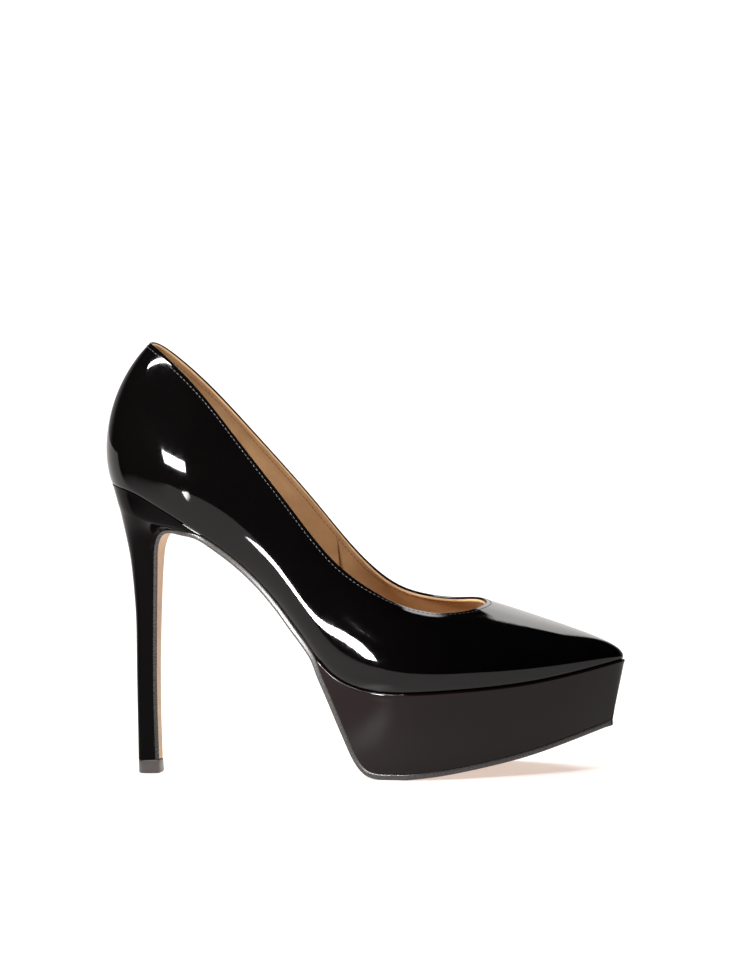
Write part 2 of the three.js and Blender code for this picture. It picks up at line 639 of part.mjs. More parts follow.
// The heel's wearing end: a D in plan, round at the back and flat under the breast flap.
function topPieceGeometry() {
  const { front, back, half, corner, roundShare } = TOP_PIECE;
  const round = front - (front - back) * roundShare;
  const outline = new THREE.Shape();
  outline.moveTo(front, -half + corner);
  outline.lineTo(front, half - corner);
  outline.lineTo(front - corner, half);
  outline.lineTo(round, half);
  outline.absellipse(round, 0, round - back, half, Math.PI / 2, (3 * Math.PI) / 2);
  outline.lineTo(front - corner, -half);
  return new THREE.ExtrudeGeometry(outline, { depth: TOP_PIECE_HEIGHT, bevelEnabled: false, curveSegments: 12 });
}

// ---------------------------------------------------------------- shank
function shankGeometry() {
  const half = SHANK_WIDTH / 2;
  const taper = (x) => half * (1 - SHANK_TAPER.share * smoothstep(x, SHANK_TAPER.start, SHANK_ENDS[1]));
  const sections = positions(...SHANK_ENDS, 20).map((x) => [
    overSole(x, -taper(x), SHANK[0]), overSole(x, taper(x), SHANK[0]),
    overSole(x, taper(x), SHANK[1]), overSole(x, -taper(x), SHANK[1]),
  ]);
  return loft(sections);
}

// ---------------------------------------------------------------- assembly
const LEATHER = { roughness: 0.55, metalness: 0 };
const PATENT = { color: 0x050505, roughness: 0.06, metalness: 0 };
const STEEL = { color: 0xb0b2b5, roughness: 0.35, metalness: 1 };
const shoe = new THREE.Group();

function add(name, geometry, look) {
  const plain = geometry.index ? geometry.toNonIndexed() : geometry;
  plain.computeVertexNormals();
  const mesh = new THREE.Mesh(plain, new THREE.MeshStandardMaterial(look));
  mesh.name = name;
  shoe.add(mesh);
  return mesh;
}

add("patent_upper", upperGeometry(), PATENT);
add("quarter_lining", liningGeometry(-LINING_SEAM, LINING_SEAM), { color: 0xb98a5c, ...LEATHER });
const vampEnd = LINING_SEAM + LINING_BUTT;
add("vamp_lining", liningGeometry(vampEnd, LOOP - vampEnd), { color: 0xa87a4d, ...LEATHER });
add("topline_tape", tapeGeometry(), { color: 0xe6e2d8, roughness: 0.9 });

// The stiffeners' upper edges, as v by station.
const counterHigh = (s) => lerp(0.79, 0.43, smoothstep(s, 2, COUNTER_END));
const puffHigh = (s) => lerp(0.3, 0.56, smoothstep(s, PUFF_START, LAST));
add("heel_counter", stiffener(-COUNTER_END, COUNTER_END, counterHigh), { color: 0xd8cdb4, roughness: 0.8 });
add("toe_puff", stiffener(PUFF_START, LOOP - PUFF_START, puffHigh), { color: 0xe0d8c4, roughness: 0.8 });

// Rivets, nails and the screw stand square to the insole, their heads let into it. Their outlines are
// [radius, d] rows; grow widens one into the hole that it sits in.
const flush = INSOLE[1] - LAYER_GAP;
const rivet = (radius, low, high) => [[0, low], [radius, low], [radius, high], [0, high]];
const fastener = ({ depth, point, radius, head, headHeight, flare }, grow) => [
  [0, -depth - grow],
  [radius + grow, point - depth - grow],
  [radius + grow, flush - headHeight - flare - grow],
  [head + grow, flush - headHeight - grow],
  [head + grow, flush + 2 * grow],
  [0, flush + 2 * grow],
];
const rivetHole = rivet(RIVET_RADIUS + ROUND_CLEARANCE, SHANK[0] - 1, INSOLE[1] + 1);
const rivetHoles = RIVETS.map((x) => studded(rivetHole, x, 0));
const nailHoles = NAILS.map(([x, y]) => studded(fastener(NAIL, ROUND_CLEARANCE), x, y));
const screwHole = studded(fastener(SCREW, ROUND_CLEARANCE), SCREW_X, 0);

// Insole, filler, foam and sock, between their stations. The sock narrows towards the toe.
const FILLER_STATIONS = [7.4, LAST - 1];
const FOAM_STATIONS = [0.2, 9];
const SOCK_STATIONS = [0, LAST - 0.4];
const SOCK_NARROWING = 4.5;
const insoleInset = () => INSOLE_INSET;
const sockInset = (s) => INSOLE_INSET + SOCK_NARROWING * smoothstep(s, 9.5, 12);
const insole = bottomPlate(0, LAST, insoleInset, INSOLE);
add("insole_board", cut(insole, ...rivetHoles, ...nailHoles, screwHole), { color: 0xb59a74, roughness: 0.9 });
add("steel_shank", cut(shankGeometry(), ...rivetHoles), STEEL);
const rivetShape = rivet(RIVET_RADIUS, SHANK[0], flush);
RIVETS.forEach((x, i) => add(`shank_rivet_${i + 1}`, studded(rivetShape, x, 0), STEEL));
const fillerPlate = bottomPlate(...FILLER_STATIONS, () => MARGIN_WIDTH, FILLER, FILLER_GAP);
add("forepart_filler", fillerPlate, { color: 0x8a6a48, roughness: 0.95 });
add("sock_foam", bottomPlate(...FOAM_STATIONS, insoleInset, SOCK_FOAM), { color: 0xe8e2d4, roughness: 0.95 });
add("sock_lining", bottomPlate(...SOCK_STATIONS, sockInset, SOCK), { color: 0xc39a6b, ...LEATHER });

add("outsole", outsoleGeometry(), { color: 0xc69a68, ...LEATHER });
add("platform_core", platformCoreGeometry(), { color: 0x9c7a52, roughness: 0.9 });
add("platform_cover", platformCoverGeometry(), PATENT);

const tubeHole = cylinder(DOWEL_RADIUS + ROUND_CLEARANCE, 0, DOWEL_TOP + LAYER_GAP, DOWEL_X, 0);
const heelBlock = cut(heelBlockGeometry(), tubeHole, ...nailHoles, screwHole);
add("heel_block", heelBlock, { color: 0xd9d9d6, roughness: 0.5 });
add("heel_cover", heelCoverGeometry(), PATENT);
const tube = cylinder(DOWEL_RADIUS, TOP_PIECE_HEIGHT + LAYER_GAP, DOWEL_TOP, DOWEL_X, 0);
add("heel_tube", cut(tube, cylinder(DOWEL_BORE, 0, DOWEL_TOP - DOWEL_END_WALL, DOWEL_X, 0)), STEEL);
add("heel_screw", studded(fastener(SCREW, 0), SCREW_X, 0), STEEL);
NAILS.forEach(([x, y], i) => add(`heel_nail_${i + 1}`, studded(fastener(NAIL, 0), x, y), STEEL));

const pinHole = cylinder(PIN_RADIUS + ROUND_CLEARANCE, PIN_ENDS[0] - LAYER_GAP, PIN_ENDS[1], DOWEL_X, 0);
add("top_piece", cut(topPieceGeometry(), pinHole), { color: 0x2a2826, roughness: 0.6 });
add("top_piece_pin", cylinder(PIN_RADIUS, ...PIN_ENDS, DOWEL_X, 0), STEEL);

// The origin goes under the middle of the shoe's bounding box.
const box = new THREE.Box3().setFromObject(shoe);
const middle = box.getCenter(new THREE.Vector3());
shoe.children.forEach((mesh) => mesh.geometry.translate(-middle.x, -middle.y, -box.min.z));

export default shoe;
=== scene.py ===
"""A black patent platform pump on a white studio floor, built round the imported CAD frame.

Shapes are described in millimetres in the shoemaker's frame, x = 0 at the back of the heel seat and
y = 0 on the heel's centre line, and are moved into the CAD frame, in metres, when a mesh is made.
"""
import json
import math

import bpy
import numpy as np
from mathutils import Matrix, Vector


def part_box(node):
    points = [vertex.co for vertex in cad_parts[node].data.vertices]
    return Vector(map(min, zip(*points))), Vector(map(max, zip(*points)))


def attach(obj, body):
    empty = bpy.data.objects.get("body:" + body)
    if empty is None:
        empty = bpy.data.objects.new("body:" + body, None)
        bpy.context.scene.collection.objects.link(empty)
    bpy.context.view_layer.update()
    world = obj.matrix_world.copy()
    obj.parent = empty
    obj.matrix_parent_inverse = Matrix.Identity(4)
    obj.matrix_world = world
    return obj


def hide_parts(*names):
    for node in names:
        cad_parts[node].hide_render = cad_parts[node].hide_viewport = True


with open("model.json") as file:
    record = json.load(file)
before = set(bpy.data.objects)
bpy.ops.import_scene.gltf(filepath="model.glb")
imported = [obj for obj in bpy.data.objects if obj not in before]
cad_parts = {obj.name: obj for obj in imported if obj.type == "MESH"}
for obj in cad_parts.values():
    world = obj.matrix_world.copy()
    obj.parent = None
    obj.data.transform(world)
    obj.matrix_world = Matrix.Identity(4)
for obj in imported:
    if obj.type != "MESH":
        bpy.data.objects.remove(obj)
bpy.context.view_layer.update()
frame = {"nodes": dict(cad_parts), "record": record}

# ---------------------------------------------------------------- driving dimensions
MM = 0.001
TUBE_X = 12.4  # the heel tube's axis, which ties the two frames together
tube_low, tube_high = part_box("heel_tube")
SHIFT = np.array([(tube_low.x + tube_high.x) / 2 / MM - TUBE_X, (tube_low.y + tube_high.y) / 2 / MM, 0.0])

UPPER_THICKNESS = 1.1
LAYER_GAP = 0.25
LINING_THICKNESS = 0.8
STIFFENER_THICKNESS = 1.2
OUTSOLE_THICKNESS = 2.8
BREAST_FLAP_THICKNESS = 1.8
SOCK = (6.4, 7.4)  # lower and upper face above the sole line
TOP_PIECE_HEIGHT = 6.0

# The sole line in side view: x, z.
SOLE_LINE = [
    [0, 131.5], [12, 129], [25, 122.7], [45, 110.4], [65, 94.4], [80, 77.8], [92, 61.6],
    [104, 48.2], [118, 41.6], [136, 39.7], [160, 40.3], [195, 42.6], [230.5, 49.4],
]
# Stations from heel to toe: feather x, lateral, medial half-width; topline x, lateral and medial
# half-width, lateral and medial height; lower handle out, up; upper handle share, reach, drop.
STATIONS = [
    [0, 0, 0, 20, 0, 0, 194.8, 194.8, 5.5, 15.5, 0, 21, 19],
    [5, 13.5, 13.2, 22.6, 5, 4.6, 193.4, 193.6, 5.6, 15.5, 0, 18, 19],
    [18, 21.8, 21.2, 30.5, 9.4, 8.6, 187.2, 187, 6.6, 15.5, 0, 13, 20],
    [38, 26.3, 24.5, 45, 13.4, 12.6, 173, 172.2, 8.2, 15.5, 0, 11.4, 20],
    [62, 24, 20, 64, 18, 17.8, 149.6, 149.2, 8, 16, 0, 7, 18],
    [86, 26, 18.5, 86, 22, 22, 121.8, 122, 7.6, 15.5, 0.1, 5, 16],
    [108, 33, 25, 104, 23.3, 23.3, 99.1, 99.2, 6.2, 15, 0.25, 4.4, 13],
    [130, 40, 34, 121, 22.8, 22.6, 85, 83.6, 5.4, 15, 0.4, 4, 8],
    [152, 41, 38.5, 136, 21.4, 21.4, 76.8, 77.6, 5.2, 14.6, 0.48, 3.6, 5],
    [174, 35, 36, 149, 18.8, 19, 73.3, 76, 5.4, 14, 0.52, 3.4, 4.6],
    [195, 25, 27.5, 158, 15, 16, 73, 76.3, 4.8, 13, 0.55, 2.6, 6],
    [213, 14.5, 17.5, 163.6, 11, 12.5, 73.6, 76.4, 4, 11.4, 0.57, 1.6, 9],
    [225, 5.5, 9.5, 166.9, 5, 7, 74.6, 75.9, 3.2, 9.4, 0.585, 0.6, 11],
    [230.5, -2, 2, 168, -1.5, 1.5, 75.2, 75.2, 2, 7.8, 0.59, 0, 11.6],
]
LAST = len(STATIONS) - 1
LOOP = 2 * LAST
# The outsole's outer face down the heel breast and down the back of the platform: x, z, half-widths.
BREAST = [
    [17.4, 6.4, 4.4, 4.4], [17.5, 32, 4.5, 4.5], [18.3, 56, 4.9, 4.9], [19.5, 79, 5.8, 5.8],
    [20.5, 94, 7, 7], [21.5, 102.5, 8.8, 8.8], [24, 107.7, 11.6, 11.4], [28.5, 109.8, 16.2, 15.8],
    [35, 109.4, 22.4, 20.9], [42, 108.1, 25, 22.9],
]
WAIST = [50, 58, 66, 74, 82, 88]
THICKENING = (7, 11)  # rows between which the breast flap grows into the sole
TREAD = [
    [93, 55, 27.6, 20], [96.2, 47.2, 28.2, 20.6], [100.2, 37.4, 28.6, 21.4], [104.8, 26, 29.2, 22.4],
    [109.5, 14.8, 30, 23.6], [113.2, 7.4, 31, 25.2], [118.4, 1.8, 32.4, 27], [125, 0, 34, 29.2],
]
FLAT = (125, 138)  # the stretch that rests on the floor
WAIST_INSET = 0.4  # from the feather line to the sole's edge at the waist
TOE_SPRING = [[138, 0], [150, 1.2], [163, 3.1], [185, 7.3], [204, 12.6], [225.6, 19.8]]
WALL_LEAN = 0.13  # the platform's wall leans in by this share of its depth
TOE_LEAN = 0.24
TOE_TURN = (196, 228)  # where the wall turns round the toe
PLATFORM_PROUD = 0.8
PLATFORM_START = 5.55  # station
SOLE_STATION = 7.34  # station at the front of the flat
# Heel sections from seat to tip: back x, z; place on the breast flap where the front lies; half-width;
# squareness, from 1 round to 0 square.
HEEL = [
    [0.4, 131, 9.4, 25.5, 1], [1.3, 127, 8.4, 24, 1], [2.7, 121.6, 7.5, 20.6, 1],
    [4.2, 114.4, 6.6, 15.8, 0.95], [5.6, 106.5, 5.6, 11.4, 0.9], [7, 97.5, 4.5, 8.8, 0.85],
    [7.9, 86, 3.5, 7, 0.8], [8.5, 70, 2.6, 5.8, 0.75], [8.1, 50, 1.75, 5.1, 0.7],
    [7.7, 28, 0.85, 4.85, 0.65], [7.3, 6.3, 0, 4.75, 0.6],
]
FLAP_PROUD = 0.15  # how far the breast flap stands out past the heel at each side
SEAT_GAP = 0.2
LINING_SEAM = 5.6  # station where quarter and vamp linings meet
SEAM_GAP = 0.0006  # of a station, between the two
COUNTER_FADE = (4.0, 5.2)  # stations over which the heel stiffener ends
PUFF_FADE = (9, 10.2)  # stations over which the toe stiffener begins
RISE_FADE = (0.66, 0.9)  # heights up the wall over which both thin out
SPINE = (15, 208)  # the ends of the line along the shoe that insets run towards
SPINE_BEND = (100, 0.02)  # where it starts to lean to the medial side, and its slope
SPINE_REACH = 0.62  # the most of the way to it that an inset takes


# ---------------------------------------------------------------- curves
def lerp(a, b, k):
    return a + (b - a) * k


def smoothstep(x, low, high):
    k = np.clip((np.asarray(x, float) - low) / (high - low), 0, 1)
    return k * k * (3 - 2 * k)


def smooth(rows, closed=False):
    """A smooth curve through rows of numbers; the result takes positions and gives rows."""
    rows = np.array(rows, float)
    hold = rows.copy()
    for _ in range(40):
        before, after = np.roll(hold, 1, 0), np.roll(hold, -1, 0)
        step = (6 * rows - before - after) / 4
        if not closed:
            step[0], step[-1] = rows[0], rows[-1]
        hold = step
    if not closed:
        hold = np.vstack([2 * hold[0] - hold[1], hold, 2 * hold[-1] - hold[-2], 2 * hold[-1] - hold[-2]])

    def at(t):
        t = np.asarray(t, float)
        cell = np.floor(t).astype(int)
        if not closed:
            cell = np.clip(cell, 0, len(rows) - 2)
        f = (t - cell)[..., None]
        g = 1 - f
        weights = [g**3 / 6, (3 * f**3 - 6 * f**2 + 4) / 6, (3 * g**3 - 6 * g**2 + 4) / 6, f**3 / 6]
        total = 0
        for k, weight in enumerate(weights):
            i = (cell + k - 1) % len(rows) if closed else cell + k
            total = total + weight * hold[i]
        return total

    return at


def profile(rows):
    """A smooth function of x through [x, value] rows whose x rises."""
    samples = smooth(rows)(np.linspace(0, len(rows) - 1, 60 * len(rows)))
    return lambda x: np.interp(x, samples[:, 0], samples[:, 1])


def unit(v):
    return v / np.maximum(np.linalg.norm(v, axis=-1, keepdims=True), 1e-9)


sole_height = profile(SOLE_LINE)


def over_sole(x, y, d):
    """The point at height d above the sole line, square to it."""
    slope = sole_height(x + 0.5) - sole_height(x - 0.5)
    length = np.hypot(1, slope)
    return np.stack(np.broadcast_arrays(x - slope / length * d, y, sole_height(x) + d / length), -1)


# ---------------------------------------------------------------- the upper's surface
def loop_row(row, side):
    half, top_half, top_z = (row[1], row[4], row[6]) if side < 0 else (row[2], row[5], row[7])
    return [row[0], side * half, row[3], side * top_half, top_z, *row[8:]]


ROUND = [loop_row(row, -1) for row in STATIONS] + [loop_row(row, 1) for row in STATIONS[-2:0:-1]]
rails = smooth(ROUND, closed=True)


def outward(t):
    """Outward direction of the feather line in plan."""
    step = rails(t + 0.02) - rails(t - 0.02)
    flat = unit(np.stack([step[..., 1], -step[..., 0]], -1))
    return np.concatenate([flat, np.zeros_like(flat[..., :1])], -1)


def feather(t):
    row = rails(t)
    return np.stack([row[..., 0], row[..., 1], sole_height(row[..., 0])], -1)


def wall(t, v):
    """The upper's outer face: t goes round the shoe, v rises from the feather line to the topline."""
    t, v = np.broadcast_arrays(np.asarray(t, float), np.asarray(v, float))
    row = rails(t)
    out = outward(t)
    foot = feather(t)
    top = row[..., 2:5]
    low = foot + out * row[..., 5:6]
    low[..., 2] += row[..., 6]
    high = top + out * row[..., 8:9]
    high[..., 0] += row[..., 7] * (row[..., 0] - row[..., 2])
    high[..., 1] += row[..., 7] * (row[..., 1] - row[..., 3])
    high[..., 2] -= row[..., 9]
    k = v[..., None]
    m = 1 - k
    return m**3 * foot + 3 * m**2 * k * low + 3 * m * k**2 * high + k**3 * top


def wall_frame(t, v):
    """Directions along the shoe, up the wall and out of it."""
    t, v = np.broadcast_arrays(np.asarray(t, float), np.asarray(v, float))
    along = unit(wall(t + 0.01, v) - wall(t - 0.01, v))
    up = unit(wall(t, np.minimum(v + 0.01, 1)) - wall(t, np.maximum(v - 0.01, 0)))
    out = unit(np.cross(along, up))
    return along, up, out


def wall_inside(t, v, depth):
    _, _, out = wall_frame(t, v)
    return wall(t, v) - out * np.asarray(depth)[..., None]


def station_of(t):
    wrapped = np.mod(t, LOOP)
    return np.minimum(wrapped, LOOP - wrapped)


def stiffening(t, v):
    s = station_of(t)
    ends = 1 - smoothstep(s, *COUNTER_FADE) + smoothstep(s, *PUFF_FADE)
    return np.clip(ends, 0, 1) * (1 - smoothstep(v, *RISE_FADE))


def lining_depth(t, v):
    """How far the lining's outer face lies inside the upper's."""
    return UPPER_THICKNESS + LAYER_GAP + (STIFFENER_THICKNESS + LAYER_GAP) * stiffening(t, v)


def in_from(t, inset, d):
    """A point in from the feather line towards the shoe's spine, at height d over the sole line."""
    row = rails(t)
    x, y = row[..., 0], row[..., 1]
    spine_x = np.clip(lerp(*SPINE, x / STATIONS[-1][0]), *SPINE)
    spine_y = np.maximum(spine_x - SPINE_BEND[0], 0) * SPINE_BEND[1]
    to = np.stack([spine_x - x, spine_y - y], -1)
    reach = np.minimum(inset, np.linalg.norm(to, axis=-1) * SPINE_REACH)
    to = unit(to) * reach[..., None]
    return over_sole(x + to[..., 0], y + to[..., 1], d)


# ---------------------------------------------------------------- mesh making
SHARP_ANGLE = math.radians(48)  # edges that turn more than this aren't shaded smooth


def to_frame(points):
    return (np.asarray(points, float).reshape(-1, 3) + SHIFT) * MM


def new_piece(name, points, faces, materials, nodes=(), picks=None):
    """A smooth-shaded mesh in the CAD frame that rides on the shoe and stands for CAD nodes."""
    mesh = bpy.data.meshes.new(name)
    mesh.from_pydata(to_frame(points).tolist(), [], [list(map(int, f)) for f in faces])
    for material in materials:
        mesh.materials.append(material)
    if picks is not None:
        mesh.polygons.foreach_set("material_index", np.asarray(picks, np.int32))
    mesh.polygons.foreach_set("use_smooth", np.ones(len(mesh.polygons), bool))
    mesh.validate()
    mesh.set_sharp_from_angle(angle=SHARP_ANGLE)
    piece = bpy.data.objects.new(name, mesh)
    bpy.context.scene.collection.objects.link(piece)
    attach(piece, "root")
    if nodes:
        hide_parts(*nodes)
    return piece


def grid_faces(rows, columns, wrap_rows=False, wrap_columns=False):
    """Quads over a rows x columns grid of points."""
    i = np.arange(rows if wrap_rows else rows - 1)
    j = np.arange(columns if wrap_columns else columns - 1)
    a, b = np.meshgrid(i, j, indexing="ij")
    a2, b2 = (a + 1) % rows, (b + 1) % columns
    corners = [a * columns + b, a2 * columns + b, a2 * columns + b2, a * columns + b2]
    return np.stack(corners, -1).reshape(-1, 4)


def facing_out(points, faces):
    """Faces turned so that the closed mesh's normals point out."""
    p = np.asarray(points, float).reshape(-1, 3)
    centre = p.mean(0)
    volume = 0.0
    for a, b, c in ((0, 1, 2), (0, 2, 3)):
        q = p[faces[:, [a, b, c]]] - centre
        volume += np.einsum("ij,ij->i", q[:, 0], np.cross(q[:, 1], q[:, 2])).sum()
    return faces if volume > 0 else faces[:, ::-1]


def loft(sections, closed=False):
    """Points and quads of a solid through rings of equal counts; open ends get quad caps."""
    points = np.asarray(sections, float)
    rows, columns = points.shape[:2]
    faces = grid_faces(rows, columns, wrap_rows=closed, wrap_columns=True)
    if not closed:
        k = np.arange(columns // 2 - 1)
        cap = np.stack([k, k + 1, columns - 2 - k, columns - 1 - k], -1)
        end = (rows - 1) * columns
        faces = np.vstack([faces, cap, end + cap[:, ::-1]])
    return points.reshape(-1, 3), facing_out(points, faces)


def even(sections):
    """Rings with one point more if they have an odd count, so that their ends can be capped with quads."""
    if sections.shape[1] % 2 == 0:
        return sections
    return np.concatenate([sections, (sections[:, -1:] + sections[:, :1]) / 2], axis=1)


# ---------------------------------------------------------------- materials
def material(name):
    made = bpy.data.materials.new(name)
    made.use_nodes = True
    tree = made.node_tree
    return made, tree, tree.nodes["Principled BSDF"]


def node(tree, kind, **inputs):
    made = tree.nodes.new(kind)
    for key, value in inputs.items():
        made.inputs[key.replace("_", " ")].default_value = value
    return made


def noise(tree, scale, detail=3.0, roughness=0.5):
    coordinates = tree.nodes.new("ShaderNodeTexCoord")
    made = node(tree, "ShaderNodeTexNoise", Scale=scale, Detail=detail, Roughness=roughness)
    tree.links.new(coordinates.outputs["Object"], made.inputs["Vector"])
    return made.outputs["Fac"]


def spread(tree, value, low, high, start=0.3, end=0.7):
    made = node(tree, "ShaderNodeMapRange", From_Min=start, From_Max=end, To_Min=low, To_Max=high)
    tree.links.new(value, made.inputs["Value"])
    return made.outputs["Result"]


def blend_colours(tree, value, dark, light):
    made = tree.nodes.new("ShaderNodeMix")
    made.data_type = "RGBA"
    made.inputs["A"].default_value = (*dark, 1)
    made.inputs["B"].default_value = (*light, 1)
    tree.links.new(value, made.inputs["Factor"])
    return made.outputs["Result"]


def bump(tree, shader, layers):
    """Stacks bumps of [height, depth in metres, strength] on the shader's normal."""
    normal = None
    for height, depth, strength in layers:
        made = node(tree, "ShaderNodeBump", Strength=strength, Distance=depth)
        tree.links.new(height, made.inputs["Height"])
        if normal is not None:
            tree.links.new(normal, made.inputs["Normal"])
        normal = made.outputs["Normal"]
    tree.links.new(normal, shader.inputs["Normal"])


def patent_material(name, base, warm, level=0.5):
    made, tree, shader = material(name)
    tree.links.new(blend_colours(tree, noise(tree, 60), base, warm), shader.inputs["Base Color"])
    tree.links.new(spread(tree, noise(tree, 300, 4), 0.035, 0.07), shader.inputs["Roughness"])
    shader.inputs["IOR"].default_value = 1.35
    shader.inputs["Specular IOR Level"].default_value = level
    waves = [(noise(tree, 70, 2), 0.0005, 0.07), (noise(tree, 260, 2), 0.00016, 0.07)]
    bump(tree, shader, waves + [(noise(tree, 900, 2), 0.00005, 0.05)])
    return made


def leather_material(name, dark, light, roughness, grain_scale, grain_depth, pores=0.6):
    made, tree, shader = material(name)
    mottling = spread(tree, noise(tree, 45, 6, 0.6), 0, 1)
    tree.links.new(blend_colours(tree, mottling, dark, light), shader.inputs["Base Color"])
    gloss = spread(tree, noise(tree, 420, 3), roughness - 0.07, roughness + 0.07)
    tree.links.new(gloss, shader.inputs["Roughness"])
    cells = node(tree, "ShaderNodeTexVoronoi", Scale=grain_scale)
    cells.feature = "DISTANCE_TO_EDGE"
    coordinates = tree.nodes.new("ShaderNodeTexCoord")
    tree.links.new(coordinates.outputs["Object"], cells.inputs["Vector"])
    grain = spread(tree, cells.outputs["Distance"], 0, 1, 0.0, 0.25)
    bump(tree, shader, [(noise(tree, 140, 3), 0.0003, 0.25), (grain, grain_depth, pores)])
    return made


def plain_material(name, dark, light, roughness, metallic=0.0, scale=500, depth=0.00004):
    made, tree, shader = material(name)
    tree.links.new(blend_colours(tree, noise(tree, scale, 4), dark, light), shader.inputs["Base Color"])
    gloss = spread(tree, noise(tree, scale * 2, 3), roughness - 0.06, roughness + 0.06)
    tree.links.new(gloss, shader.inputs["Roughness"])
    shader.inputs["Metallic"].default_value = metallic
    bump(tree, shader, [(noise(tree, scale * 1.5, 3), depth, 0.4)])
    return made


PATENT = patent_material("patent_black", (0.0006, 0.0005, 0.0005), (0.0011, 0.0009, 0.0009))
PLATFORM_PATENT = patent_material(
    "patent_black_platform", (0.0035, 0.0012, 0.0012), (0.0045, 0.0018, 0.0018), 0.36
)
HEEL_PATENT = patent_material("patent_black_heel", (0.0006, 0.0004, 0.0004), (0.001, 0.0008, 0.0008), 0.1)
LINING = leather_material("lining_kid", (0.38, 0.215, 0.098), (0.53, 0.325, 0.165), 0.5, 2600, 0.00004)
SOCK_LEATHER = leather_material("sock_kid", (0.46, 0.27, 0.145), (0.58, 0.36, 0.205), 0.5, 2600, 0.00004)
SOLE_LEATHER = leather_material(
    "sole_leather", (0.45, 0.29, 0.156), (0.56, 0.377, 0.215), 0.5, 1500, 0.00003, 0.35
)
EDGE_INK = plain_material("edge_ink", (0.02, 0.018, 0.017), (0.04, 0.036, 0.034), 0.28, scale=700)
BLACK_THREAD = plain_material("black_thread", (0.008, 0.007, 0.007), (0.04, 0.037, 0.035), 0.45, scale=1800)
BROWN_THREAD = plain_material("brown_thread", (0.10, 0.05, 0.028), (0.19, 0.10, 0.055), 0.55, scale=1800)
TIP_PLASTIC = plain_material("tip_plastic", (0.08, 0.072, 0.068), (0.115, 0.105, 0.098), 0.4, scale=900)
HIDDEN = {
    "lining_tape": plain_material("woven_tape", (0.7, 0.68, 0.62), (0.85, 0.83, 0.78), 0.85, scale=2500),
    "stiffener_board": plain_material("fibre_board", (0.5, 0.42, 0.3), (0.66, 0.58, 0.44), 0.85, scale=900),
    "cork_filler": plain_material("cork_filler", (0.25, 0.16, 0.08), (0.5, 0.34, 0.19), 0.9, scale=600),
    "foam": plain_material("latex_foam", (0.75, 0.71, 0.62), (0.88, 0.85, 0.78), 0.9, scale=1600),
    "platform_core": plain_material("cork_board", (0.36, 0.24, 0.13), (0.58, 0.42, 0.25), 0.9, scale=450),
    "heel_plastic": plain_material(
        "moulded_plastic", (0.68, 0.68, 0.66), (0.78, 0.78, 0.76), 0.45, scale=400
    ),
    "steel": plain_material("zinc_plated_steel", (0.45, 0.45, 0.46), (0.62, 0.62, 0.63), 0.34, 1.0, scale=800),
}


# ---------------------------------------------------------------- upper
AROUND = np.linspace(0, LOOP, 481)[:-1]
# The turned-under margin: inset from the feather line, height over the sole line.
MARGIN = ((3.4, 0.9), (3.4, -0.35), (1.2, -0.35), (0.3, 0.0))


def upper_shell():
    """The patent whole cut: wall, folded topline, inner face and the turned-under margin."""
    t = AROUND[:, None]
    rise = np.concatenate([[0.018], np.linspace(0.035, 0.99, 58)])[None, :]
    outer = wall(t, rise)
    _, up, out = wall_frame(t, np.array([[0.99]]))
    edge = wall(t, np.array([[0.99]]))
    radius = UPPER_THICKNESS / 2
    angles = np.linspace(0, math.pi, 9)[1:]
    fold = [edge + out * radius * (math.cos(a) - 1) + up * radius * math.sin(a) for a in angles]
    inner = wall_inside(t, np.array([[0.96, 0.88, 0.7, 0.5, 0.3, 0.12]]), UPPER_THICKNESS)
    under = [in_from(AROUND, inset, d)[:, None] for inset, d in MARGIN]
    sections = np.concatenate([outer, *fold, inner, *under], axis=1)
    points, faces = loft(sections, closed=True)
    return new_piece("upper", points, faces, [PATENT], ["patent_upper"])


upper_shell()


# ---------------------------------------------------------------- linings
def lining_shell(name, start, end, count, replaced):
    t = np.linspace(start, end, count)[:, None]
    rise = np.concatenate([np.linspace(0.02, 0.95, 40), [0.97, 0.982, 0.989]])[None, :]
    near = lining_depth(t, rise)
    inner = wall_inside(t, rise, near + LINING_THICKNESS)
    top_rise = np.array([[0.994, 0.9955, 0.994]])
    rim = wall_inside(t, top_rise, UPPER_THICKNESS + np.array([[0.8, 0.4, 0.05]]) + 0 * t)
    outer = wall_inside(t, rise[:, ::-1][:, ::6], near[:, ::-1][:, ::6])
    foot = np.stack([in_from(t[:, 0], 9, 1.45), in_from(t[:, 0], 9, 2.2)], 1)
    sections = np.concatenate([inner, rim, outer, foot], axis=1)
    points, faces = loft(even(sections))
    return new_piece(name, points, faces, [LINING], [replaced])


lining_shell("quarter_lining_kid", -LINING_SEAM, LINING_SEAM, 220, "quarter_lining")
lining_shell("vamp_lining_kid", LINING_SEAM + SEAM_GAP, LOOP - LINING_SEAM - SEAM_GAP, 300, "vamp_lining")


# ---------------------------------------------------------------- stitching
def arc_positions(path, spacing):
    """Parameters that step along a path of points at an even spacing."""
    points = path(np.linspace(0, 1, 2400))
    run = np.concatenate([[0], np.cumsum(np.linalg.norm(np.diff(points, axis=0), axis=1))])
    count = int(run[-1] / spacing)
    return np.interp(np.linspace(0, run[-1], count + 1)[:-1], run, np.linspace(0, 1, 2400))


